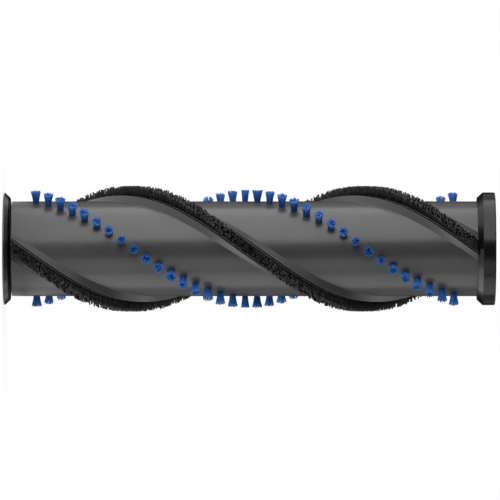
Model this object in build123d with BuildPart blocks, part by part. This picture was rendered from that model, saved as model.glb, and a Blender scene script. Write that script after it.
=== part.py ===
from build123d import *

import math
import os

# Vacuum roller brush: a grey core with two helical pile strips and two helical rows of tufts.
# It spins on a ball bearing in a fixed end cap and is driven through a collar at its other end.
# Millimetres. The roller's axis is Z, and the brush stands on its end cap at z = 0.

# Layout along the axis
overall_length = 230.0
cap_flange_thick = 3.3
cap_to_core_gap = 0.65
cap_to_plug_gap = 1.0
drive_flange_thick = 8.4

# Roller core
core_outer_r = 22.2
core_bore_r = 16.0
counterbore_wall = 1.0

# Helices of the ribs with their strips, and of the tuft rows; angles are about Z from +X
strip_lead = 217.8
strip_count = 2
strip_angle_midway = 270.6
tuft_lead = 215.9
tuft_angle_midway = 0.0

# Rib with its channel, in the section square to the axis; heights are above the core's surface
rib_foot_half = 6.35
rib_shoulder_half = 4.15
rib_shoulder_height = 2.35
rib_bury = 0.6
lip_half = 3.5
lip_height = 2.7
lip_groove_width = 0.4
lip_groove_deep = 0.8
channel_mouth_half = 2.7
channel_half = 3.4
channel_sink = 0.8
channel_height = 1.8

# Pile strip: a flat backing band in the channel, with the pile standing on it
strip_clearance = 0.05
backing_thick = 1.5
pile_side_clearance = 0.1
pile_flare = 0.4
pile_tip_height = 7.35

# Tufts in blind holes
tuft_pitch = 5.745
tuft_first = 11.36
tuft_last_margin = 10.5
tuft_hole_r = 1.55
tuft_hole_web = 1.0
tuft_clearance = 0.05
tuft_flare = 0.65
tuft_tip_height = 5.0

# Staple across the foot of each tuft
staple_width = 2.6
staple_height = 1.6
staple_thick = 0.4
staple_clearance = 0.03

# End cap
cap_flange_r = 26.25
cap_rim_width = 0.7
cap_bevel_radial = 2.4
cap_rim_round = 0.3
cap_bevel_round = 1.0
cap_skirt_clearance = 0.4
cap_skirt_wall = 2.0
cap_web = 2.4
cap_rib_count = 4
cap_rib_thick = 1.6
cap_rib_drop = 1.0
locator_r = 8.0
locator_depth = 6.6
locator_wall = 3.0
locator_slot_count = 2
locator_slot_width = 3.0
locator_slot_deep = 1.6
hub_wall = 3.0

# Stub axle and its rings
axle_fit = 0.01
axle_skin = 0.4
axle_overhang = 2.5
axle_end_chamfer = 0.4
axle_groove_deep = 0.35
shim_thick = 0.4
shim_wall = 1.6
snap_ring_thick = 0.7
snap_ring_wall = 1.5
snap_ring_gap = 2.4
ring_play = 0.05

# Ball bearing
bearing_bore_r = 3.0
bearing_outer_r = 9.5
bearing_width = 6.0
ball_r = 1.75
ball_count = 7
race_clearance = 0.05
race_shoulder = 1.25
cage_wall_half = 0.85
cage_front = 0.8
cage_back = 2.25
pocket_clearance = 0.03
shield_thick = 0.25
shield_recess = 0.2
shield_seat = 0.7
shield_clearance = 0.3

# Bearing plug, circlip and felt washer
seat_clearance = 0.02
plug_flange_thick = 1.5
plug_core_wall = 2.4
plug_back_wall = 2.5
plug_axle_room = 1.5
plug_shoulder = 1.5
felt_thick = 2.4
felt_step = 2.0
felt_clearance = 0.3
circlip_land = 1.6
circlip_thick = 1.0
circlip_groove_deep = 0.5
circlip_wall = 2.3
circlip_gap = 5.0
circlip_lug_r = 1.3
circlip_lug_hole_r = 0.7

# Drive flange
drive_flange_r = 26.4
drive_bevel_radial = 2.4
drive_bevel_axial = 2.6
drive_rim_round = 0.5
drive_rim_wall = 2.8
drive_plate = 3.0
drive_rib_count = 6
drive_rib_thick = 1.6
drive_rib_drop = 1.0
spigot_length = 16.0
spigot_wall = 2.8
socket_r = 8.0
socket_depth = 14.0
socket_wall = 3.0
socket_floor = 2.6
socket_slot_count = 4
socket_slot_width = 2.4
socket_slot_deep = 1.5

# Fixing screws of the drive flange
screw_count = 3
screw_r = 1.5
screw_bite = 8.0
screw_end_room = 0.5
screw_head_r = 2.8
screw_head_height = 2.0
screw_cross_long = 3.0
screw_cross_wide = 0.7
screw_cross_deep = 1.1

# How far a cutting body runs past the face that it cuts
cut_margin = 1.0

# Places along the axis that follow from these sizes
core_start = cap_flange_thick + cap_to_core_gap
core_end = overall_length - drive_flange_thick
core_length = core_end - core_start
cap_web_top = locator_depth + cap_web
plug_front = cap_web_top + cap_to_plug_gap
counterbore_floor = plug_front + plug_flange_thick
felt_floor = plug_front + felt_thick
circlip_front = felt_floor + circlip_land
bearing_front = circlip_front + circlip_thick
bearing_mid = bearing_front + bearing_width / 2
bearing_back = bearing_front + bearing_width
hub_end = bearing_front - shim_thick
axle_start = locator_depth + axle_skin
axle_end = bearing_back + axle_overhang
plug_pocket_floor = axle_end + plug_axle_room
plug_back = plug_pocket_floor + plug_back_wall
drive_plate_top = core_end + drive_plate

# Radii that follow from these sizes
channel_floor_r = core_outer_r - channel_sink
channel_roof_r = channel_floor_r + channel_height
counterbore_r = channel_floor_r - counterbore_wall
rib_shoulder_r = core_outer_r + rib_shoulder_height
lip_r = core_outer_r + lip_height
lip_groove_r = lip_r - lip_groove_deep
lip_groove_half = lip_half + lip_groove_width
pile_foot_r = channel_floor_r + strip_clearance + backing_thick
pile_tip_r = core_outer_r + pile_tip_height
pile_root_half = channel_mouth_half - pile_side_clearance
pile_tip_half = pile_root_half + pile_flare
tuft_root_r = tuft_hole_r - tuft_clearance
tuft_floor_r = core_bore_r + tuft_hole_web
tuft_root_length = core_outer_r - tuft_floor_r
cap_skirt_r = counterbore_r - cap_skirt_clearance
locator_boss_r = locator_r + locator_wall
hub_r = bearing_bore_r + hub_wall
axle_r = bearing_bore_r - axle_fit
axle_groove_r = axle_r - axle_groove_deep
ball_circle_r = (bearing_bore_r + bearing_outer_r) / 2
race_r = ball_r + race_clearance
inner_shoulder_r = ball_circle_r - race_shoulder
outer_shoulder_r = ball_circle_r + race_shoulder
shield_outer_r = outer_shoulder_r + shield_seat
plug_pocket_r = bearing_outer_r - plug_shoulder
felt_outer_r = bearing_outer_r + felt_step
circlip_groove_r = bearing_outer_r + circlip_groove_deep
spigot_r = core_bore_r - seat_clearance
socket_boss_r = socket_r + socket_wall
drive_rim_inner_r = drive_flange_r - drive_rim_wall
screw_circle_r = (core_bore_r + channel_floor_r) / 2

turns = [360.0 * number / strip_count for number in range(strip_count)]
strip_turns = [strip_angle_midway + turn for turn in turns]
tuft_turns = [tuft_angle_midway + turn for turn in turns]
tuft_count = int((core_length - tuft_first - tuft_last_margin) / tuft_pitch) + 1


def helix_plane(z, turn, lead):
    """Plane square to the axis at z, its X axis pointing out at the helix that is midway at this turn."""
    angle = turn + 360.0 * (z - overall_length / 2) / lead
    return Plane.XY.offset(z).rotated((0, 0, angle))


def tuft_planes(turn):
    """Planes on the floors of one row's holes, their Z axes pointing out of the core."""
    planes = []
    for number in range(tuft_count):
        across = helix_plane(core_start + tuft_first + number * tuft_pitch, turn, tuft_lead)
        foot = across.origin + across.x_dir * tuft_floor_r
        planes.append(Plane(origin=foot, x_dir=(0, 0, 1), z_dir=across.x_dir))
    return planes


# Axis and twist guide of a section swept from end to end of the core, and of one that cuts past it
with BuildLine() as core_axis:
    Line((0, 0, core_start), (0, 0, core_end))
with BuildLine() as core_twist:
    Helix(strip_lead, core_length, core_outer_r, center=(0, 0, core_start))
cut_start = core_start - cut_margin
cut_length = core_length + 2 * cut_margin
with BuildLine() as cut_axis:
    Line((0, 0, cut_start), (0, 0, cut_start + cut_length))
with BuildLine() as cut_twist:
    Helix(strip_lead, cut_length, core_outer_r, center=(0, 0, cut_start))

# Roller core: tube with two ribs, their channels, blind tuft holes and screw holes
rib_foot_x = math.sqrt(core_outer_r**2 - rib_foot_half**2)
rib_slope = (rib_shoulder_r - rib_foot_x) / (rib_foot_half - rib_shoulder_half)
rib_buried_half = rib_foot_half + rib_bury
rib_buried_x = rib_foot_x - rib_bury * rib_slope
rib_root_x = rib_buried_x - rib_bury
channel_mouth_x = lip_r + cut_margin
with BuildPart() as roller_core:
    with BuildSketch(Plane.XY.offset(core_start)):
        Circle(core_outer_r)
    extrude(amount=core_length)
    for turn in strip_turns:
        with BuildSketch(helix_plane(core_start, turn, strip_lead)):
            with BuildLine():
                Polyline(
                    (rib_root_x, 0),
                    (rib_root_x, rib_shoulder_half),
                    (rib_buried_x, rib_buried_half),
                    (rib_shoulder_r, rib_shoulder_half),
                    (rib_shoulder_r, lip_groove_half),
                    (lip_groove_r, lip_groove_half),
                    (lip_groove_r, lip_half),
                    (lip_r, lip_half),
                    (lip_r, 0),
                )
                mirror(about=Plane.XZ)
            make_face()
        sweep(path=core_axis.line, binormal=core_twist.edge())
    for turn in strip_turns:
        with BuildSketch(helix_plane(cut_start, turn, strip_lead)):
            with BuildLine():
                Polyline(
                    (channel_floor_r, 0),
                    (channel_floor_r, channel_half),
                    (channel_roof_r, channel_half),
                    (channel_roof_r, channel_mouth_half),
                    (channel_mouth_x, channel_mouth_half),
                    (channel_mouth_x, 0),
                )
                mirror(about=Plane.XZ)
            make_face()
        sweep(path=cut_axis.line, binormal=cut_twist.edge(), mode=Mode.SUBTRACT)
    with BuildSketch(Plane.XY.offset(core_start)):
        Circle(core_bore_r)
    extrude(amount=core_length, mode=Mode.SUBTRACT)
    with BuildSketch(Plane.XY.offset(core_start)):
        Circle(counterbore_r)
    extrude(amount=counterbore_floor - core_start, mode=Mode.SUBTRACT)
    for turn in tuft_turns:
        with Locations(*tuft_planes(turn)):
            Cylinder(
                tuft_hole_r,
                tuft_root_length + cut_margin,
                align=(Align.CENTER, Align.CENTER, Align.MIN),
                mode=Mode.SUBTRACT,
            )
    with BuildSketch(Plane.XY.offset(core_end)):
        with PolarLocations(screw_circle_r, screw_count):
            Circle(screw_r + seat_clearance)
    extrude(amount=-(screw_bite + screw_end_room), mode=Mode.SUBTRACT)
roller_core.part.label = "roller_core"
export_step(roller_core.part, "parts/roller_core.step")

# Pile strips: a backing band under the channel's lips and the pile that stands on it
backing_half = channel_half - strip_clearance
backing_floor_r = channel_floor_r + strip_clearance
pile_edge_x = math.sqrt(pile_tip_r**2 - pile_tip_half**2)
for number, turn in enumerate(strip_turns, 1):
    with BuildPart() as strip_backing:
        with BuildSketch(helix_plane(core_start, turn, strip_lead)):
            with BuildLine():
                Polyline(
                    (backing_floor_r, -backing_half),
                    (pile_foot_r, -backing_half),
                    (pile_foot_r, backing_half),
                    (backing_floor_r, backing_half),
                    close=True,
                )
            make_face()
        sweep(path=core_axis.line, binormal=core_twist.edge())
    strip_backing.part.label = f"strip_backing_{number}"
    export_step(strip_backing.part, f"parts/strip_backing_{number}.step")

    with BuildPart() as strip_pile:
        with BuildSketch(helix_plane(core_start, turn, strip_lead)):
            with BuildLine():
                Polyline(
                    (pile_edge_x, -pile_tip_half),
                    (lip_r, -pile_root_half),
                    (pile_foot_r, -pile_root_half),
                    (pile_foot_r, pile_root_half),
                    (lip_r, pile_root_half),
                    (pile_edge_x, pile_tip_half),
                )
                ThreePointArc((pile_edge_x, pile_tip_half), (pile_tip_r, 0), (pile_edge_x, -pile_tip_half))
            make_face()
        sweep(path=core_axis.line, binormal=core_twist.edge())
    strip_pile.part.label = f"strip_pile_{number}"
    export_step(strip_pile.part, f"parts/strip_pile_{number}.step")

# Tuft rows: flared bundles in the blind holes, each folded over a staple at its foot
tuft_tip_r = tuft_root_r + tuft_flare
tuft_length = tuft_root_length + tuft_tip_height
staple_slot_thick = staple_thick + 2 * staple_clearance
with BuildPart() as one_tuft:
    with BuildSketch(Plane.XZ):
        with BuildLine():
            Polyline(
                (0, 0),
                (tuft_root_r, 0),
                (tuft_root_r, tuft_root_length),
                (tuft_tip_r, tuft_length),
                (0, tuft_length),
                close=True,
            )
        make_face()
    revolve(axis=Axis.Z)
    with BuildSketch(Plane.XY):
        Rectangle(2 * tuft_hole_r, staple_slot_thick)
    extrude(amount=staple_height + staple_clearance, mode=Mode.SUBTRACT)
for number, turn in enumerate(tuft_turns, 1):
    with BuildPart() as tuft_row:
        with Locations(*tuft_planes(turn)):
            add(one_tuft.part)
    tuft_row.part.label = f"tuft_row_{number}"
    export_step(tuft_row.part, f"parts/tuft_row_{number}.step")

    with BuildPart() as tuft_staples:
        with Locations(*tuft_planes(turn)):
            Box(
                staple_width,
                staple_thick,
                staple_height,
                align=(Align.CENTER, Align.CENTER, Align.MIN),
            )
    tuft_staples.part.label = f"tuft_staples_{number}"
    export_step(tuft_staples.part, f"parts/tuft_staples_{number}.step")

# End cap: dished flange, skirt in the core's counterbore, keyed pocket outside and hub inside
with BuildPart() as end_cap:
    with BuildSketch(Plane.XZ):
        with BuildLine():
            Polyline(
                (0, locator_depth),
                (locator_r, locator_depth),
                (locator_r, 0),
                (locator_boss_r, 0),
                (locator_boss_r, locator_depth),
                (cap_skirt_r - cap_skirt_wall, locator_depth),
                (cap_skirt_r - cap_skirt_wall, 0),
                (cap_flange_r, 0),
                (cap_flange_r, cap_rim_width),
                (cap_flange_r - cap_bevel_radial, cap_flange_thick),
                (cap_skirt_r, cap_flange_thick),
                (cap_skirt_r, cap_web_top),
                (hub_r, cap_web_top),
                (hub_r, hub_end),
                (axle_r, hub_end),
                (axle_r, axle_start),
                (0, axle_start),
                close=True,
            )
        make_face()
    revolve(axis=Axis.Z)
    flange_edges = end_cap.edges().filter_by(GeomType.CIRCLE)
    rim_edge = flange_edges.filter_by_position(Axis.Z, 0, 0).sort_by(SortBy.RADIUS)[-1]
    fillet(rim_edge, radius=cap_rim_round)
    flange_edges = end_cap.edges().filter_by(GeomType.CIRCLE)
    bevel_edge = flange_edges.filter_by_position(Axis.Z, cap_flange_thick, cap_flange_thick)
    fillet(bevel_edge.sort_by(SortBy.RADIUS)[-1], radius=cap_bevel_round)
    cap_rib_length = cap_skirt_r - cap_skirt_wall - locator_boss_r
    with BuildSketch(Plane.XY.offset(cap_rib_drop)):
        with PolarLocations(locator_boss_r, cap_rib_count, start_angle=180 / cap_rib_count):
            with Locations((cap_rib_length / 2, 0)):
                Rectangle(cap_rib_length + cap_rib_thick, cap_rib_thick)
    extrude(amount=locator_depth - cap_rib_drop)
    with BuildSketch(Plane.XY):
        with PolarLocations(locator_r, locator_slot_count):
            Rectangle(2 * locator_slot_deep, locator_slot_width)
    extrude(amount=locator_depth, mode=Mode.SUBTRACT)
end_cap.part.label = "end_cap"
export_step(end_cap.part, "parts/end_cap.step")

# Stub axle: steel pin in the cap's hub, with a groove behind the bearing
with BuildPart() as stub_axle:
    with BuildSketch(Plane.XY.offset(axle_start)):
        Circle(axle_r)
    extrude(amount=axle_end - axle_start)
    chamfer(stub_axle.edges().sort_by(Axis.Z)[-1], length=axle_end_chamfer)
    with BuildSketch(Plane.XY.offset(bearing_back)):
        Circle(axle_r + cut_margin)
        Circle(axle_groove_r, mode=Mode.SUBTRACT)
    extrude(amount=snap_ring_thick + ring_play, mode=Mode.SUBTRACT)
stub_axle.part.label = "stub_axle"
export_step(stub_axle.part, "parts/stub_axle.step")

# Shim between the cap's hub and the bearing's inner ring
with BuildPart() as hub_shim:
    with BuildSketch(Plane.XY.offset(hub_end)):
        Circle(bearing_bore_r + shim_wall)
        Circle(bearing_bore_r, mode=Mode.SUBTRACT)
    extrude(amount=shim_thick)
hub_shim.part.label = "hub_shim"
export_step(hub_shim.part, "parts/hub_shim.step")

# Snap ring in the axle's groove, behind the inner ring
snap_ring_inner_r = axle_groove_r + ring_play
with BuildPart() as axle_snap_ring:
    with BuildSketch(Plane.XY.offset(bearing_back)):
        Circle(snap_ring_inner_r + snap_ring_wall)
        Circle(snap_ring_inner_r, mode=Mode.SUBTRACT)
        with Locations((snap_ring_inner_r + snap_ring_wall / 2, 0)):
            Rectangle(2 * snap_ring_wall, snap_ring_gap, mode=Mode.SUBTRACT)
    extrude(amount=snap_ring_thick)
axle_snap_ring.part.label = "axle_snap_ring"
export_step(axle_snap_ring.part, "parts/axle_snap_ring.step")

# Bearing inner ring with its ball groove
with BuildPart() as bearing_inner_ring:
    with BuildSketch(Plane.XY.offset(bearing_front)):
        Circle(inner_shoulder_r)
        Circle(bearing_bore_r, mode=Mode.SUBTRACT)
    extrude(amount=bearing_width)
    with Locations((0, 0, bearing_mid)):
        Torus(ball_circle_r, race_r, mode=Mode.SUBTRACT)
bearing_inner_ring.part.label = "bearing_inner_ring"
export_step(bearing_inner_ring.part, "parts/bearing_inner_ring.step")

# Bearing outer ring with its ball groove and a seat for a shield at each end
shield_seat_deep = shield_recess + shield_thick
with BuildPart() as bearing_outer_ring:
    with BuildSketch(Plane.XY.offset(bearing_front)):
        Circle(bearing_outer_r - seat_clearance)
        Circle(outer_shoulder_r, mode=Mode.SUBTRACT)
    extrude(amount=bearing_width)
    with Locations((0, 0, bearing_mid)):
        Torus(ball_circle_r, race_r, mode=Mode.SUBTRACT)
    with BuildSketch(Plane.XY.offset(bearing_front), Plane.XY.offset(bearing_back - shield_seat_deep)):
        Circle(shield_outer_r)
    extrude(amount=shield_seat_deep, mode=Mode.SUBTRACT)
bearing_outer_ring.part.label = "bearing_outer_ring"
export_step(bearing_outer_ring.part, "parts/bearing_outer_ring.step")

# Bearing shields, pressed into the outer ring and clear of the inner ring
shield_starts = {
    "front": bearing_front + shield_recess,
    "back": bearing_back - shield_seat_deep,
}
for side, shield_start in shield_starts.items():
    with BuildPart() as bearing_shield:
        with BuildSketch(Plane.XY.offset(shield_start)):
            Circle(shield_outer_r - seat_clearance)
            Circle(inner_shoulder_r + shield_clearance, mode=Mode.SUBTRACT)
        extrude(amount=shield_thick)
    bearing_shield.part.label = f"bearing_shield_{side}"
    export_step(bearing_shield.part, f"parts/bearing_shield_{side}.step")

# Balls, and the crown cage that snaps over them from behind
with BuildPart() as bearing_balls:
    with Locations((0, 0, bearing_mid)):
        with PolarLocations(ball_circle_r, ball_count):
            Sphere(ball_r)
bearing_balls.part.label = "bearing_balls"
export_step(bearing_balls.part, "parts/bearing_balls.step")

with BuildPart() as bearing_cage:
    with BuildSketch(Plane.XY.offset(bearing_mid - cage_front)):
        Circle(ball_circle_r + cage_wall_half)
        Circle(ball_circle_r - cage_wall_half, mode=Mode.SUBTRACT)
    extrude(amount=cage_front + cage_back)
    with Locations((0, 0, bearing_mid)):
        with PolarLocations(ball_circle_r, ball_count):
            Sphere(ball_r + pocket_clearance, mode=Mode.SUBTRACT)
bearing_cage.part.label = "bearing_cage"
export_step(bearing_cage.part, "parts/bearing_cage.step")

# Bearing plug: flange on the counterbore's floor, felt pocket, circlip groove and bearing seat
plug_r = core_bore_r - seat_clearance
plug_seat_wall_r = circlip_groove_r + plug_core_wall - circlip_groove_deep
plug_skin_r = plug_r - plug_core_wall
with BuildPart() as bearing_plug:
    with BuildSketch(Plane.XZ):
        with BuildLine():
            Polyline(
                (felt_outer_r, plug_front),
                (counterbore_r - seat_clearance, plug_front),
                (counterbore_r - seat_clearance, counterbore_floor),
                (plug_r, counterbore_floor),
                (plug_r, plug_back),
                (plug_skin_r, plug_back),
                (plug_skin_r, bearing_front),
                (plug_seat_wall_r, bearing_front),
                (plug_seat_wall_r, plug_back),
                (0, plug_back),
                (0, plug_pocket_floor),
                (plug_pocket_r, plug_pocket_floor),
                (plug_pocket_r, bearing_back),
                (bearing_outer_r, bearing_back),
                (bearing_outer_r, bearing_front + ring_play),
                (circlip_groove_r, bearing_front + ring_play),
                (circlip_groove_r, circlip_front - ring_play),
                (bearing_outer_r, circlip_front - ring_play),
                (bearing_outer_r, felt_floor),
                (felt_outer_r, felt_floor),
                close=True,
            )
        make_face()
    revolve(axis=Axis.Z)
bearing_plug.part.label = "bearing_plug"
export_step(bearing_plug.part, "parts/bearing_plug.step")

# Circlip that holds the bearing in the plug, with an eyed lug each side of its gap
circlip_outer_r = circlip_groove_r - ring_play
circlip_inner_r = circlip_outer_r - circlip_wall
circlip_lug_y = circlip_gap / 2 + circlip_lug_r
circlip_lug_x = math.sqrt(circlip_inner_r**2 - circlip_lug_y**2)
with BuildPart() as bearing_circlip:
    with BuildSketch(Plane.XY.offset(circlip_front)):
        Circle(circlip_outer_r)
        Circle(circlip_inner_r, mode=Mode.SUBTRACT)
        with Locations((circlip_outer_r, 0)):
            Rectangle(circlip_outer_r, circlip_gap, mode=Mode.SUBTRACT)
        with Locations((circlip_lug_x, circlip_lug_y), (circlip_lug_x, -circlip_lug_y)):
            Circle(circlip_lug_r)
            Circle(circlip_lug_hole_r, mode=Mode.SUBTRACT)
    extrude(amount=circlip_thick)
bearing_circlip.part.label = "bearing_circlip"
export_step(bearing_circlip.part, "parts/bearing_circlip.step")

# Felt dust washer around the cap's hub
with BuildPart() as felt_washer:
    with BuildSketch(Plane.XY.offset(plug_front)):
        Circle(felt_outer_r - seat_clearance)
        Circle(hub_r + felt_clearance, mode=Mode.SUBTRACT)
    extrude(amount=felt_thick)
felt_washer.part.label = "felt_washer"
export_step(felt_washer.part, "parts/felt_washer.step")

# Drive flange: bevelled collar with a spigot in the core's bore and a keyed socket for the spindle
with BuildPart() as drive_flange:
    with BuildSketch(Plane.XZ):
        with BuildLine():
            Polyline(
                (0, overall_length - socket_depth - socket_floor),
                (socket_boss_r, overall_length - socket_depth - socket_floor),
                (socket_boss_r, core_end),
                (spigot_r - spigot_wall, core_end),
                (spigot_r - spigot_wall, core_end - spigot_length),
                (spigot_r, core_end - spigot_length),
                (spigot_r, core_end),
                (drive_flange_r - drive_bevel_radial, core_end),
                (drive_flange_r, core_end + drive_bevel_axial),
                (drive_flange_r, overall_length),
                (drive_rim_inner_r, overall_length),
                (drive_rim_inner_r, drive_plate_top),
                (socket_boss_r, drive_plate_top),
                (socket_boss_r, overall_length),
                (socket_r, overall_length),
                (socket_r, overall_length - socket_depth),
                (0, overall_length - socket_depth),
                close=True,
            )
        make_face()
    revolve(axis=Axis.Z)
    rim_edges = drive_flange.edges().filter_by(GeomType.CIRCLE).sort_by(SortBy.RADIUS)[-2:]
    fillet(rim_edges, radius=drive_rim_round)
    drive_rib_length = drive_rim_inner_r - socket_boss_r
    with BuildSketch(Plane.XY.offset(drive_plate_top)):
        with PolarLocations(socket_boss_r, drive_rib_count, start_angle=180 / drive_rib_count):
            with Locations((drive_rib_length / 2, 0)):
                Rectangle(drive_rib_length + drive_rib_thick, drive_rib_thick)
    extrude(amount=overall_length - drive_rib_drop - drive_plate_top)
    with BuildSketch(Plane.XY.offset(overall_length)):
        with PolarLocations(socket_r, socket_slot_count):
            Rectangle(2 * socket_slot_deep, socket_slot_width)
    extrude(amount=-socket_depth, mode=Mode.SUBTRACT)
    with BuildSketch(Plane.XY.offset(core_end)):
        with PolarLocations(screw_circle_r, screw_count):
            Circle(screw_r + seat_clearance)
    extrude(amount=drive_plate, mode=Mode.SUBTRACT)
drive_flange.part.label = "drive_flange"
export_step(drive_flange.part, "parts/drive_flange.step")

# Fixing screws: pan heads with a cross recess
screw_top = drive_plate_top + screw_head_height
with BuildPart() as flange_screws:
    with BuildSketch(Plane.XY.offset(core_end - screw_bite)):
        with PolarLocations(screw_circle_r, screw_count):
            Circle(screw_r)
    extrude(amount=screw_bite + drive_plate)
    with BuildSketch(Plane.XY.offset(drive_plate_top)):
        with PolarLocations(screw_circle_r, screw_count):
            Circle(screw_head_r)
    extrude(amount=screw_head_height)
    with BuildSketch(Plane.XY.offset(screw_top)):
        with PolarLocations(screw_circle_r, screw_count):
            Rectangle(screw_cross_long, screw_cross_wide)
            Rectangle(screw_cross_wide, screw_cross_long)
    extrude(amount=-screw_cross_deep, mode=Mode.SUBTRACT)
flange_screws.part.label = "flange_screws"
export_step(flange_screws.part, "parts/flange_screws.step")
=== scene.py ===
import math

import bpy
import numpy as np
from mathutils import Matrix, Vector


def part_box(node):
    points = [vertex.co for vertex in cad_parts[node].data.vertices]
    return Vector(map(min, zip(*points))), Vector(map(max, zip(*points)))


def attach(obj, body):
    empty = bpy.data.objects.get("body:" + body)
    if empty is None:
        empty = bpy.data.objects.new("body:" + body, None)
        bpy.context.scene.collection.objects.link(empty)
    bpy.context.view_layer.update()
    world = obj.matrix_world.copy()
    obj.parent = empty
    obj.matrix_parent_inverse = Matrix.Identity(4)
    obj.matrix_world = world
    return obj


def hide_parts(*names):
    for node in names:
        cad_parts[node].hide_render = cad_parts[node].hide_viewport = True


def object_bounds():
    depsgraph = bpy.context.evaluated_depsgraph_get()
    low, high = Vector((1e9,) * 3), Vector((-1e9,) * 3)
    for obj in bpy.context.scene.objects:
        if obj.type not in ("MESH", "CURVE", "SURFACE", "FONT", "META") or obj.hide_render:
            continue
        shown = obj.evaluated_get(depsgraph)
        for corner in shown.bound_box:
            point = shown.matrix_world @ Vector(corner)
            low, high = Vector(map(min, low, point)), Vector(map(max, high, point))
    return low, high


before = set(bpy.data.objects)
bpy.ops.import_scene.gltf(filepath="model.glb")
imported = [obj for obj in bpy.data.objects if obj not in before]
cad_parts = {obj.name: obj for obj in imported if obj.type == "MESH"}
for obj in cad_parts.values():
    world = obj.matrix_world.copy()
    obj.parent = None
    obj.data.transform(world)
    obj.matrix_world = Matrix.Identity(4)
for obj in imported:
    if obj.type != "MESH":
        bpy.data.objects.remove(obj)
cad_low, cad_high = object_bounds()

# Sizes in metres, the same as the solids'; angles are about Z from +X
MM = 0.001
STRIP_LEAD = 217.8 * MM
STRIP_TURNS = (math.radians(270.6), math.radians(450.6))
TUFT_LEAD = 215.9 * MM
TUFT_TURNS = (0.0, math.pi)
PILE_FOOT_R = 22.95 * MM
PILE_ROOT_HALF = 2.45 * MM
PILE_FLARE = 0.6 * MM
PILE_LEAN = 0.1 * MM
TUFT_FIRST = 11.36 * MM
TUFT_PITCH = 5.745 * MM
TUFT_COUNT = 35
TUFT_ROOT_R = 1.5 * MM
CORE_R = 22.2 * MM
TUFT_TIP_HEIGHT = 5.45 * MM
EDGE_R = 0.25 * MM
# Radii of the ribs' lips, where a lighter colour is painted on as a highlight
LIP_HIGHLIGHT_R = (24.75 * MM, 25.5 * MM)
# Distances across a strip of the grooves beside its ribs, which are painted near black as shade
GROOVE = (3.45 * MM, 3.95 * MM)
# Distances across a strip of the rib flanks, which get a painted tone
FLANK = (3.9 * MM, 6.3 * MM)
# Inside this radius, and between these heights on its rim, the end cap is painted near black as shade
CAP_SHADE_R = 22.6 * MM
CAP_RIM_SHADE_Z = (2.35 * MM, 4.0 * MM)
FLANGE_SPECULAR = 0.34

AXIS = Vector((0.0, 0.0, 1.0))
axis_length = cad_high.z - cad_low.z
core_low, core_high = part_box("roller_core")
pile_low, pile_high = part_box("strip_pile_1")
PILE_TIP_R = (pile_high.x - pile_low.x) / 2

# Pile: fine bundles of fibres, and pores where a bundle is cut shorter and painted darkest as shade
CLUMP_STEP = 0.7 * MM
CLUMP_COLUMNS = 7
CLUMP_FIBRES = 9
CLUMP_R = 0.27 * MM
CLUMP_LEAN = 0.12 * MM
CLUMP_DROP = 0.25 * MM
PORE_SHARE = 0.42
PORE_DROP = (0.9 * MM, 2.4 * MM)
FIBRE_LEAN = 0.05 * MM
FIBRE_DROP = 0.16 * MM
FIBRE_ROOT_R = 0.1 * MM
FIBRE_TIP_R = 0.16 * MM
FIBRE_SIDES = 3
# Painted shade on the pile: full tone at the tips, fading over these radii to the darkest share below them
PILE_LIT_R = (28.3 * MM, 29.3 * MM)
PILE_SIDE_SHADE = 0.2

# Tufts: filaments that flare out of each hole, with a hollow in the middle of the tips
TUFT_FILAMENTS = 46
TUFT_TIP_R = (2.45 * MM, 2.4 * MM)
TUFT_HOLLOW = 0.03
TUFT_SINK = 1.5 * MM
TUFT_LEAN = 0.2 * MM
TUFT_TIP_JITTER = 0.14 * MM
TUFT_TIP_DROP = 0.14 * MM
TUFT_CRATER = 0.5 * MM
TUFT_RIM = 0.72
TUFT_SHORT_SHARE = 0.45
TUFT_SHORT_DROP = 1.4 * MM
FILAMENT_R = 0.19 * MM
FILAMENT_TIP_R = 0.28 * MM
FILAMENT_SIDES = 6
# Painted shade along each filament, foot to tip: darkest at the root, lighter towards the tip
FILAMENT_SHADE = (0.0, 0.05, 0.24, 0.3)
GOLDEN_ANGLE = math.pi * (3 - math.sqrt(5))

# Camera: the photo's frame is 500 pixels wide, and the roller's middle is at this pixel in it
PHOTO_PIXELS = 500
PHOTO_MIDDLE = (249.28, 248.77)
METRES_PER_PIXEL = 0.46839 * MM
LENS_PIXELS = 8000
SENSOR_MM = 36.0

# Light tent round the roller's axis: degrees from the camera's side towards the top of the picture,
# each panel's radiance and the heights of its ends; cards fill the rest
TENT_R = 0.7
TENT = {
    "top_back": (92.0, 116.0, 2.0, -0.06, 0.27),
    "top": (66.0, 92.0, 2.0, -0.06, 0.27),
    "top_front": (40.0, 66.0, 2.3, -0.06, 0.27),
    "front_high": (17.0, 40.0, 2.35, -0.06, 0.27),
    "front_low": (-56.0, -20.0, 1.3, -0.06, 0.27),
    "bottom": (-106.0, -56.0, 0.74, -0.06, 0.27),
    "right_high": (130.0, 172.0, 0.58, 0.28, 0.6),
    "right_low": (-172.0, -130.0, 0.4, 0.28, 0.6),
    "right_bottom": (-128.0, -90.0, 1.0, 0.45, 0.85),
}
CARDS = {
    "front": (-60.0, 17.0, 0.01),
    "back_high": (116.0, 146.0, 0.8),
    "back": (146.0, 214.0, 0.01),
    "back_low": (214.0, 254.0, 0.5),
}
CEILING_TONE = 0.35
CARD_STEP = 6.0
CARD_R = 0.73
CARD_FOOT_Z = -0.3
CEILING_Z = 0.9
WORLD_FILL = 0.3
FLOOR_R = 0.27
FLOOR_DROP = 0.1 * MM
FLOOR_GLOW = 0.75

# A soft box that lies low beside the bearing end, below the roller in the picture, and shines along it
LOW_BOX_DEGREES = -97.0
LOW_BOX_R = 0.2
LOW_BOX_Z = 0.01
LOW_BOX_SIZE = (0.22, 0.3)
LOW_BOX_RADIANCE = 1.6


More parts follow.
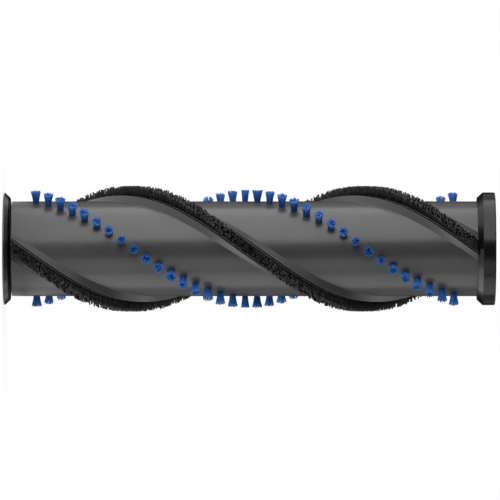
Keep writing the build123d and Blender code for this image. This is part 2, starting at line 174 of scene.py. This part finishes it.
def helix_angle(z, turn, lead):
    """Angle about Z, at height z, of the helix that is midway at this turn."""
    return turn + 2 * math.pi * (z - axis_length / 2) / lead


def section_points(z, across, out, angle):
    """Points in the section at z: out along the helix's own radius, and across it."""
    x = out * np.cos(angle) - across * np.sin(angle)
    y = out * np.sin(angle) + across * np.cos(angle)
    return np.stack([x, y, z], axis=-1)


def bristle_object(name, paths, radii, sides, shade):
    """One mesh of many closed bristles: paths is (bristle, point, xyz) and shade is (bristle, point)."""
    count, points = paths.shape[:2]
    along = paths[:, -1] - paths[:, 0]
    along /= np.linalg.norm(along, axis=1, keepdims=True)
    side = np.cross(along, (0.0, 0.0, 1.0))
    side /= np.linalg.norm(side, axis=1, keepdims=True)
    up = np.cross(along, side)
    turn = np.arange(sides) * 2 * math.pi / sides
    ring = np.cos(turn)[None, :, None] * side[:, None, :] + np.sin(turn)[None, :, None] * up[:, None, :]
    verts = paths[:, :, None, :] + np.asarray(radii)[None, :, None, None] * ring[:, None, :, :]

    index = np.arange(count * points * sides).reshape(count, points, sides)
    after = np.roll(index, -1, axis=2)
    walls = np.stack([index[:, :-1], after[:, :-1], after[:, 1:], index[:, 1:]], axis=-1).reshape(-1, 4)
    caps = np.concatenate([index[:, 0, ::-1], index[:, -1, :]])
    loops = np.concatenate([walls.ravel(), caps.ravel()])
    starts = np.concatenate([np.arange(len(walls)) * 4, len(walls) * 4 + np.arange(len(caps)) * sides])

    mesh = bpy.data.meshes.new(name)
    mesh.vertices.add(verts.size // 3)
    mesh.vertices.foreach_set("co", verts.ravel())
    mesh.loops.add(len(loops))
    mesh.loops.foreach_set("vertex_index", loops)
    mesh.polygons.add(len(starts))
    mesh.polygons.foreach_set("loop_start", starts)
    smooth = np.concatenate([np.ones(len(walls), bool), np.zeros(len(caps), bool)])
    mesh.polygons.foreach_set("use_smooth", smooth)
    mesh.update(calc_edges=True)
    tone = mesh.attributes.new("shade", "FLOAT", "POINT")
    tone.data.foreach_set("value", np.repeat(shade.ravel(), sides))
    mesh.validate()
    piece = bpy.data.objects.new(name, mesh)
    bpy.context.collection.objects.link(piece)
    return piece


def disc(rng, shape, radius):
    """Random points spread evenly over a disc, as two arrays."""
    reach = radius * np.sqrt(rng.random(shape))
    turn = rng.random(shape) * 2 * math.pi
    return reach * np.cos(turn), reach * np.sin(turn)


def pile_fibres(number, turn):
    """The fibres of one pile strip, in place of its solid."""
    rng = np.random.default_rng(40 + number)
    rows = int((core_high.z - core_low.z) / CLUMP_STEP)
    row, column = np.meshgrid(np.arange(rows), np.arange(CLUMP_COLUMNS), indexing="ij")
    row, column = row.ravel(), column.ravel()
    clumps = len(row)
    clump_z = core_low.z + (row + 0.25 + 0.5 * (column % 2)) * CLUMP_STEP
    clump_z = clump_z + rng.normal(0, 0.2 * CLUMP_STEP, clumps)
    clump_u = ((column + 0.5) / CLUMP_COLUMNS - 0.5) * 2 * PILE_ROOT_HALF
    lean_z = rng.normal(0, CLUMP_LEAN, clumps)
    lean_u = rng.normal(0, CLUMP_LEAN, clumps) + PILE_FLARE * clump_u / PILE_ROOT_HALF + PILE_LEAN
    pore = rng.random(clumps) < PORE_SHARE
    drop = np.where(pore, rng.uniform(*PORE_DROP, clumps), rng.random(clumps) * CLUMP_DROP)
    shape = (clumps, CLUMP_FIBRES)
    dz, du = disc(rng, shape, CLUMP_R)
    root_z = np.clip(clump_z[:, None] + dz, core_low.z + FIBRE_ROOT_R, core_high.z - FIBRE_ROOT_R)
    root_u = np.clip(clump_u[:, None] + du, -PILE_ROOT_HALF, PILE_ROOT_HALF)
    tip_z = root_z + lean_z[:, None] + rng.normal(0, FIBRE_LEAN, shape)
    tip_u = root_u + lean_u[:, None] + rng.normal(0, FIBRE_LEAN, shape)
    tip_out = np.sqrt(PILE_TIP_R**2 - tip_u**2) - drop[:, None] - rng.random(shape) * FIBRE_DROP
    root_out = np.full(shape, PILE_FOOT_R)
    angle = helix_angle(root_z, turn, STRIP_LEAD)
    roots = section_points(root_z, root_u, root_out, angle)
    tips = section_points(tip_z, tip_u, tip_out, angle)
    paths = np.stack([roots, tips], axis=2).reshape(-1, 2, 3)
    # Painted shade: the bundles in the pores get the darkest tone; the others a random one
    tone = np.where(pore, 0.0, 0.2 + 0.6 * rng.random(clumps))
    shade = (tone[:, None] + rng.random(shape) * 0.2).ravel()
    shades = np.stack([shade, shade], axis=1)
    piece = bristle_object(f"pile_fibres_{number}", paths, (FIBRE_ROOT_R, FIBRE_TIP_R), FIBRE_SIDES, shades)
    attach(piece, "roller")
    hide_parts(f"strip_pile_{number}")
    return piece


def tuft_filaments(number, turn):
    """The filaments of one row of tufts, in place of its solids."""
    rng = np.random.default_rng(70 + number)
    tuft_z = core_low.z + TUFT_FIRST + np.arange(TUFT_COUNT) * TUFT_PITCH
    order = np.arange(TUFT_FILAMENTS)
    spread = np.sqrt(TUFT_HOLLOW + (1 - TUFT_HOLLOW) * (order + 0.5) / TUFT_FILAMENTS)
    spin = order * GOLDEN_ANGLE + rng.random((TUFT_COUNT, 1)) * 2 * math.pi
    shape = spin.shape
    hole_r = (TUFT_ROOT_R - FILAMENT_R) * spread
    tip_r = (TUFT_TIP_R[number - 1] - FILAMENT_R) * spread * (1 + rng.normal(0, 0.06, (TUFT_COUNT, 1)))
    jitter_z, jitter_u = disc(rng, shape, TUFT_TIP_JITTER)
    lean_z, lean_u = disc(rng, (TUFT_COUNT, 1), TUFT_LEAN)
    angle = np.broadcast_to(helix_angle(tuft_z, turn, TUFT_LEAD)[:, None], shape)
    middle = np.broadcast_to(tuft_z[:, None], shape)
    foot_out = np.full(shape, CORE_R - TUFT_SINK)
    mouth_out = np.full(shape, CORE_R)
    tip_out = CORE_R + TUFT_TIP_HEIGHT - TUFT_CRATER * (1 - spread**2) - rng.random(shape) * TUFT_TIP_DROP
    short = (rng.random(shape) < TUFT_SHORT_SHARE) & (spread < TUFT_RIM)
    tip_out = tip_out - short * TUFT_SHORT_DROP
    hole_z, hole_u = hole_r * np.cos(spin), hole_r * np.sin(spin)
    foot = section_points(middle + hole_z, hole_u, foot_out, angle)
    mouth = section_points(middle + hole_z, hole_u, mouth_out, angle)
    tip_z = middle + tip_r * np.cos(spin) + jitter_z + lean_z
    tip_u = tip_r * np.sin(spin) + jitter_u + lean_u
    half_z = middle + hole_z + 0.42 * (tip_z - middle - hole_z)
    half_u = hole_u + 0.42 * (tip_u - hole_u)
    half = section_points(half_z, half_u, (mouth_out + tip_out) / 2, angle)
    tip = section_points(tip_z, tip_u, tip_out, angle)
    paths = np.stack([foot, mouth, half, tip], axis=2).reshape(-1, 4, 3)
    radii = (FILAMENT_R, FILAMENT_R, FILAMENT_R, FILAMENT_TIP_R)
    # Painted shade: the short filaments in the hollow get no random lift and stay dark
    bright = 0.38 * rng.random(shape) * ~short
    shades = np.asarray(FILAMENT_SHADE) + bright.reshape(-1, 1)
    piece = bristle_object(f"tuft_filaments_{number}", paths, radii, FILAMENT_SIDES, shades)
    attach(piece, "roller")
    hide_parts(f"tuft_row_{number}")
    return piece


def new_material(name):
    """An empty node material with its shader: (material, nodes, links, shader)."""
    material = bpy.data.materials.new(name)
    material.use_nodes = True
    nodes, links = material.node_tree.nodes, material.node_tree.links
    return material, nodes, links, nodes["Principled BSDF"]


def noise(nodes, links, scale, detail=3.0, rough=0.5):
    """Noise on the object's own coordinates, so that it rides with the piece."""
    place = nodes.new("ShaderNodeTexCoord")
    texture = nodes.new("ShaderNodeTexNoise")
    texture.inputs["Scale"].default_value = scale
    texture.inputs["Detail"].default_value = detail
    texture.inputs["Roughness"].default_value = rough
    links.new(place.outputs["Object"], texture.inputs["Vector"])
    return texture.outputs["Fac"]


def colour_range(nodes, links, factor, low, high, start=0.3, end=0.7):
    """Colour that runs from low to high as the factor goes from start to end."""
    ramp = nodes.new("ShaderNodeValToRGB")
    ramp.color_ramp.elements[0].position = start
    ramp.color_ramp.elements[1].position = end
    ramp.color_ramp.elements[0].color = (*low, 1.0)
    ramp.color_ramp.elements[1].color = (*high, 1.0)
    links.new(factor, ramp.inputs["Fac"])
    return ramp.outputs["Color"]


def value_range(nodes, links, factor, low, high, start=0.3, end=0.7):
    """Number that runs from low to high as the factor goes from start to end."""
    remap = nodes.new("ShaderNodeMapRange")
    remap.inputs["From Min"].default_value = start
    remap.inputs["From Max"].default_value = end
    remap.inputs["To Min"].default_value = low
    remap.inputs["To Max"].default_value = high
    links.new(factor, remap.inputs["Value"])
    return remap.outputs["Result"]


def bump(nodes, links, height, strength, distance):
    """Bump normal from a height, over edges that are softened a little."""
    edge = nodes.new("ShaderNodeBevel")
    edge.inputs["Radius"].default_value = EDGE_R
    node = nodes.new("ShaderNodeBump")
    links.new(edge.outputs["Normal"], node.inputs["Normal"])
    node.inputs["Strength"].default_value = strength
    node.inputs["Distance"].default_value = distance
    links.new(height, node.inputs["Height"])
    return node.outputs["Normal"]


def math_node(nodes, links, operation, first, second=None):
    """One step of arithmetic; each operand is an output or a number."""
    node = nodes.new("ShaderNodeMath")
    node.operation = operation
    for socket, operand in zip(node.inputs, (first, second)):
        if isinstance(operand, float):
            socket.default_value = operand
        elif operand is not None:
            links.new(operand, socket)
    return node.outputs["Value"]


def band_mask(nodes, links, value, low, high, soft):
    """1 where the value is between low and high, and 0 outside, with soft edges."""
    rise = nodes.new("ShaderNodeMapRange")
    rise.inputs["From Min"].default_value = low - soft
    rise.inputs["From Max"].default_value = low + soft
    fall = nodes.new("ShaderNodeMapRange")
    fall.inputs["From Min"].default_value = high + soft
    fall.inputs["From Max"].default_value = high - soft
    links.new(value, rise.inputs["Value"])
    links.new(value, fall.inputs["Value"])
    return math_node(nodes, links, "MULTIPLY", rise.outputs["Result"], fall.outputs["Result"])


def place_axes(nodes, links):
    """The X, Y and Z of the point on the piece, as outputs by name."""
    place = nodes.new("ShaderNodeTexCoord")
    split = nodes.new("ShaderNodeSeparateXYZ")
    links.new(place.outputs["Object"], split.inputs["Vector"])
    return split.outputs


def axis_distance(nodes, links):
    """Distance from the roller's axis."""
    axes = place_axes(nodes, links)
    squares = [math_node(nodes, links, "POWER", axes[name], 2.0) for name in ("X", "Y")]
    return math_node(nodes, links, "SQRT", math_node(nodes, links, "ADD", *squares))


def strip_distance(nodes, links, radius):
    """Distance across the section from the middle of the nearest pile strip."""
    axes = place_axes(nodes, links)
    angle = math_node(nodes, links, "ARCTAN2", axes["Y"], axes["X"])
    twist = math_node(nodes, links, "MULTIPLY", axes["Z"], 2 * math.pi / STRIP_LEAD)
    start = helix_angle(0.0, STRIP_TURNS[0], STRIP_LEAD)
    phase = math_node(nodes, links, "SUBTRACT", math_node(nodes, links, "SUBTRACT", angle, twist), start)
    across = math_node(nodes, links, "MULTIPLY", math_node(nodes, links, "SINE", phase), radius)
    return math_node(nodes, links, "ABSOLUTE", across)


def blend(nodes, links, factor, first, second):
    """Colour between two colours that other nodes make."""
    mix = nodes.new("ShaderNodeMixRGB")
    links.new(factor, mix.inputs["Fac"])
    links.new(first, mix.inputs["Color1"])
    links.new(second, mix.inputs["Color2"])
    return mix.outputs["Color"]


def core_material():
    """Grey moulded plastic, with a painted highlight on the ribs' lips, painted shade in the grooves beside them
    and a painted, slightly darker tone on the rib flanks.
    """
    material = mottled_material("core_plastic", grey(0.077), grey(0.086), (0.27, 0.33), 2600.0, strength=0.02)
    nodes, links = material.node_tree.nodes, material.node_tree.links
    colour = nodes["Principled BSDF"].inputs["Base Color"]
    plain = colour.links[0].from_socket
    radius = axis_distance(nodes, links)
    across = strip_distance(nodes, links, radius)
    # Painted highlight: the tops of the ribs' lips are made lighter, standing in for the lamps' light that they
    # catch
    painted_lip_highlight = colour_range(nodes, links, noise(nodes, links, 300.0), grey(0.15), grey(0.19))
    # Painted shade: the grooves beside the ribs are near black, with a little random variation
    painted_groove_shade = colour_range(nodes, links, noise(nodes, links, 500.0), grey(0.004), grey(0.012))
    # Painted shade: the rib flanks get a tone a little darker than the tube's, standing in for how the light falls
    # on them
    painted_flank_shade = colour_range(nodes, links, noise(nodes, links, 80.0), grey(0.07), grey(0.08))
    plain = blend(nodes, links, band_mask(nodes, links, across, *FLANK, 0.05 * MM), plain, painted_flank_shade)
    lips_highlighted = blend(nodes, links, band_mask(nodes, links, radius, *LIP_HIGHLIGHT_R, 0.05 * MM), plain, painted_lip_highlight)
    groove_shade_mask = band_mask(nodes, links, across, *GROOVE, 0.05 * MM)
    links.new(blend(nodes, links, groove_shade_mask, lips_highlighted, painted_groove_shade), colour)
    # The painted shade also takes the gloss out of the grooves.
    gloss = value_range(nodes, links, groove_shade_mask, 0.5, 0.0)
    links.new(gloss, nodes["Principled BSDF"].inputs["Specular IOR Level"])
    return material


def cap_material():
    """Black plastic of the end cap, with painted shade in the running gap beside the core and on its inner rim:
    near black there, with little gloss.
    """
    material = mottled_material("cap_plastic", grey(0.022), grey(0.028), (0.2, 0.27), 900.0, strength=0.02)
    nodes, links = material.node_tree.nodes, material.node_tree.links
    shader = nodes["Principled BSDF"]
    inside = band_mask(nodes, links, axis_distance(nodes, links), 0.0, CAP_SHADE_R, 0.1 * MM)
    edge = band_mask(nodes, links, place_axes(nodes, links)["Z"], *CAP_RIM_SHADE_Z, 0.15 * MM)
    inside = math_node(nodes, links, "MAXIMUM", inside, edge)
    # Painted shade: near black with almost no gloss in the gap and on the inner rim
    painted_gap_shade = colour_range(nodes, links, noise(nodes, links, 400.0), grey(0.002), grey(0.004))
    plain = shader.inputs["Base Color"].links[0].from_socket
    links.new(blend(nodes, links, inside, plain, painted_gap_shade), shader.inputs["Base Color"])
    links.new(value_range(nodes, links, inside, 1.0, 0.05), shader.inputs["Specular IOR Level"])
    return material


def mottled_material(name, low, high, rough, grain, metallic=0.0, patch=60.0, strength=0.06):
    """Moulded plastic, metal or felt: patchy colour and roughness over a fine grain of this scale."""
    material, nodes, links, shader = new_material(name)
    patches = noise(nodes, links, patch, detail=1.0)
    links.new(colour_range(nodes, links, patches, low, high, 0.0, 1.0), shader.inputs["Base Color"])
    marks = noise(nodes, links, patch * 2, detail=0.0)
    links.new(value_range(nodes, links, marks, *rough, 0.0, 1.0), shader.inputs["Roughness"])
    fine = noise(nodes, links, grain, detail=2.0)
    links.new(bump(nodes, links, fine, strength, 0.1 * MM), shader.inputs["Normal"])
    shader.inputs["Metallic"].default_value = metallic
    return material


def bristle_material(name, low, high, rough, specular, lit_from=None):
    """Nylon whose tone differs from bristle to bristle; when lit_from is given, painted shade darkens it below the
    tips.
    """
    material, nodes, links, shader = new_material(name)
    shade = nodes.new("ShaderNodeAttribute")
    shade.attribute_name = "shade"
    tone = shade.outputs["Fac"]
    if lit_from:
        # Painted shade: the tone falls below the tips, towards the strip
        painted_depth_shade = nodes.new("ShaderNodeMapRange")
        painted_depth_shade.inputs["From Min"].default_value, painted_depth_shade.inputs["From Max"].default_value = lit_from
        painted_depth_shade.inputs["To Min"].default_value = PILE_SIDE_SHADE
        links.new(axis_distance(nodes, links), painted_depth_shade.inputs["Value"])
        tone = math_node(nodes, links, "MULTIPLY", tone, painted_depth_shade.outputs["Result"])
    links.new(colour_range(nodes, links, tone, low, high, 0.0, 1.0), shader.inputs["Base Color"])
    scuff = noise(nodes, links, 900.0)
    links.new(value_range(nodes, links, scuff, *rough), shader.inputs["Roughness"])
    shader.inputs["Specular IOR Level"].default_value = specular
    return material


def paint(node, material):
    """Puts one material in every slot of a solid."""
    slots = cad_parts[node].material_slots
    for slot in slots:
        slot.material = material


def grey(value):
    return (value, value, value)


def dress_solids():
    """Materials of the solids that show as they are, and of those inside."""
    core = core_material()
    flange = mottled_material("flange_plastic", grey(0.007), grey(0.01), (0.2, 0.27), 900.0, strength=0.02)
    flange.node_tree.nodes["Principled BSDF"].inputs["Specular IOR Level"].default_value = FLANGE_SPECULAR
    dull_black = mottled_material("plug_plastic", grey(0.012), grey(0.02), (0.45, 0.6), 1500.0)
    band = mottled_material("backing_plastic", grey(0.006), grey(0.012), (0.6, 0.75), 1200.0)
    steel = mottled_material("bearing_steel", grey(0.52), grey(0.62), (0.16, 0.28), 3000.0, metallic=1.0)
    sheet = mottled_material("shield_steel", grey(0.45), grey(0.58), (0.28, 0.4), 2500.0, metallic=1.0)
    spring = mottled_material("spring_steel", grey(0.05), grey(0.09), (0.3, 0.45), 2500.0, metallic=1.0)
    zinc = mottled_material("screw_steel", (0.5, 0.51, 0.53), (0.62, 0.63, 0.65), (0.25, 0.4), 2500.0, metallic=1.0)
    cage = mottled_material("cage_plastic", (0.5, 0.43, 0.3), (0.58, 0.51, 0.37), (0.4, 0.5), 1800.0)
    felt = mottled_material("felt", (0.2, 0.19, 0.17), (0.34, 0.32, 0.29), (0.9, 1.0), 1400.0, strength=0.6)
    dress = {
        "roller_core": core,
        "end_cap": cap_material(),
        "drive_flange": flange,
        "bearing_plug": dull_black,
        "strip_backing_1": band,
        "strip_backing_2": band,
        "strip_pile_1": band,
        "strip_pile_2": band,
        "tuft_row_1": band,
        "tuft_row_2": band,
        "stub_axle": steel,
        "bearing_inner_ring": steel,
        "bearing_outer_ring": steel,
        "bearing_balls": steel,
        "bearing_shield_front": sheet,
        "bearing_shield_back": sheet,
        "hub_shim": sheet,
        "tuft_staples_1": sheet,
        "tuft_staples_2": sheet,
        "bearing_circlip": spring,
        "axle_snap_ring": spring,
        "flange_screws": zinc,
        "bearing_cage": cage,
        "felt_washer": felt,
    }
    for node, material in dress.items():
        paint(node, material)


def build_bristles():
    """Pile fibres and tuft filaments with their nylon."""
    black = bristle_material("pile_nylon", grey(0.003), grey(0.115), (0.4, 0.6), 0.3, PILE_LIT_R)
    blue = bristle_material("tuft_nylon", (0.004, 0.042, 0.21), (0.06, 0.32, 1.0), (0.3, 0.45), 0.35)
    for number, turn in enumerate(STRIP_TURNS, 1):
        pile_fibres(number, turn).data.materials.append(black)
    for number, turn in enumerate(TUFT_TURNS, 1):
        tuft_filaments(number, turn).data.materials.append(blue)


def tent_direction(degrees):
    """Unit vector from the axis at an angle from the camera's side towards the picture's top."""
    angle = math.radians(degrees)
    return Vector((-math.sin(angle), -math.cos(angle), 0.0))


def soft_box(name, size, radiance, place, axes):
    """A rectangular soft box that the camera doesn't see; axes are its own X, Y and Z in the frame."""
    light = bpy.data.lights.new(name, "AREA")
    light.shape = "RECTANGLE"
    light.size, light.size_y = size
    light.energy = math.pi * light.size * light.size_y * radiance
    lamp = bpy.data.objects.new(name, light)
    lamp.matrix_world = Matrix.Translation(place) @ Matrix(axes).transposed().to_4x4()
    lamp.visible_camera = False
    bpy.context.collection.objects.link(lamp)


def add_tent():
    """Flat soft boxes side by side round parts of the axis."""
    for name, (start, end, radiance, low, high) in TENT.items():
        out = tent_direction((start + end) / 2)
        width = 2 * TENT_R * math.tan(math.radians((end - start) / 2))
        place = out * TENT_R + AXIS * (low + high) / 2
        soft_box(name, (width, high - low), radiance, place, (AXIS.cross(out), AXIS, out))


def add_low_box():
    """The low soft box, which lights the flanks that face the bearing end."""
    out = tent_direction(LOW_BOX_DEGREES)
    place = out * LOW_BOX_R + AXIS * LOW_BOX_Z
    soft_box("low_box", LOW_BOX_SIZE, LOW_BOX_RADIANCE, place, (out, out.cross(AXIS), -AXIS))


def stage_object(name, verts, faces, material):
    """A mesh that belongs to the set and not to the brush."""
    mesh = bpy.data.meshes.new(name)
    mesh.from_pydata(verts, [], faces)
    mesh.materials.append(material)
    obj = bpy.data.objects.new(name, mesh)
    bpy.context.collection.objects.link(obj)
    return obj


def card_material(name, tone):
    """Dull paper of this tone."""
    material, nodes, links, shader = new_material(name)
    fibre = noise(nodes, links, 40.0)
    links.new(colour_range(nodes, links, fibre, grey(0.9 * tone), grey(1.1 * tone)), shader.inputs["Base Color"])
    shader.inputs["Roughness"].default_value = 1.0
    shader.inputs["Specular IOR Level"].default_value = 0.0
    return material


def add_cards():
    """Dark cards round the tent and over it, which the gloss reflects and the camera doesn't see."""
    bottom, top = Vector((0.0, 0.0, CARD_FOOT_Z)), Vector((0.0, 0.0, CEILING_Z))
    for name, (start, end, tone) in CARDS.items():
        steps = round((end - start) / CARD_STEP)
        verts = []
        for number in range(steps + 1):
            out = tent_direction(start + (end - start) * number / steps) * CARD_R
            verts += [out + bottom, out + top]
        faces = [(2 * n, 2 * n + 1, 2 * n + 3, 2 * n + 2) for n in range(steps)]
        paper = card_material(f"card_{name}", tone)
        stage_object(f"card_{name}", verts, faces, paper).visible_camera = False
    turns = [math.radians(n * CARD_STEP) for n in range(round(360 / CARD_STEP))]
    verts = [(CARD_R * math.cos(t), CARD_R * math.sin(t), CEILING_Z) for t in turns]
    paper = card_material("card_ceiling", CEILING_TONE)
    stage_object("card_ceiling", verts, [tuple(range(len(verts)))], paper).visible_camera = False


def background_ray(nodes, links):
    """1 for the rays that should see a white background, and 0 for the light that falls on the brush."""
    rays = nodes.new("ShaderNodeLightPath").outputs
    either = math_node(nodes, links, "MAXIMUM", rays["Is Camera Ray"], rays["Is Glossy Ray"])
    return math_node(nodes, links, "MAXIMUM", either, rays["Is Transmission Ray"])


def add_floor():
    """A pale round floor that fades into the white background."""
    material, nodes, links, shader = new_material("floor")
    shader.inputs["Base Color"].default_value = (*grey(0.92), 1.0)
    shader.inputs["Roughness"].default_value = 0.9
    shader.inputs["Specular IOR Level"].default_value = 0.0
    glow = nodes.new("ShaderNodeEmission")
    glow.inputs["Strength"].default_value = FLOOR_GLOW
    black = nodes.new("ShaderNodeEmission")
    black.inputs["Strength"].default_value = 0.0
    seen = nodes.new("ShaderNodeMixShader")
    links.new(background_ray(nodes, links), seen.inputs["Fac"])
    links.new(black.outputs["Emission"], seen.inputs[1])
    links.new(glow.outputs["Emission"], seen.inputs[2])
    both = nodes.new("ShaderNodeAddShader")
    links.new(shader.outputs["BSDF"], both.inputs[0])
    links.new(seen.outputs["Shader"], both.inputs[1])
    links.new(both.outputs["Shader"], nodes["Material Output"].inputs["Surface"])
    sides = 128
    turns = [2 * math.pi * n / sides for n in range(sides)]
    verts = [(FLOOR_R * math.cos(t), FLOOR_R * math.sin(t), -FLOOR_DROP) for t in turns]
    stage_object("floor", verts, [tuple(range(sides))], material)


def add_world():
    """White behind the brush, and a soft grey fill on it."""
    world = bpy.data.worlds.new("studio")
    bpy.context.scene.world = world
    world.use_nodes = True
    nodes, links = world.node_tree.nodes, world.node_tree.links
    fill = nodes["Background"]
    fill.inputs["Color"].default_value = (1.0, 1.0, 1.0, 1.0)
    fill.inputs["Strength"].default_value = WORLD_FILL
    white = nodes.new("ShaderNodeBackground")
    white.inputs["Color"].default_value = (1.0, 1.0, 1.0, 1.0)
    white.inputs["Strength"].default_value = 1.0
    mix = nodes.new("ShaderNodeMixShader")
    links.new(background_ray(nodes, links), mix.inputs["Fac"])
    links.new(fill.outputs["Background"], mix.inputs[1])
    links.new(white.outputs["Background"], mix.inputs[2])
    links.new(mix.outputs["Shader"], nodes["World Output"].inputs["Surface"])


def add_camera():
    """Level with the roller's middle, square to its axis, which runs across the picture."""
    data = bpy.data.cameras.new("camera")
    data.sensor_width = SENSOR_MM
    data.lens = SENSOR_MM * LENS_PIXELS / PHOTO_PIXELS
    data.clip_end = 100.0
    camera = bpy.data.objects.new("camera", data)
    bpy.context.collection.objects.link(camera)
    right, up, back = Vector((0, 0, 1)), Vector((-1, 0, 0)), Vector((0, -1, 0))
    middle = Vector((0, 0, axis_length / 2))
    middle += right * (PHOTO_PIXELS / 2 - PHOTO_MIDDLE[0]) * METRES_PER_PIXEL
    middle -= up * (PHOTO_PIXELS / 2 - PHOTO_MIDDLE[1]) * METRES_PER_PIXEL
    axes = Matrix((right, up, back)).transposed().to_4x4()
    camera.matrix_world = Matrix.Translation(middle + back * LENS_PIXELS * METRES_PER_PIXEL) @ axes
    bpy.context.scene.camera = camera


add_camera()
dress_solids()
build_bristles()
add_tent()
add_low_box()
add_cards()
add_floor()
add_world()
bpy.context.scene.view_settings.view_transform = "Standard"
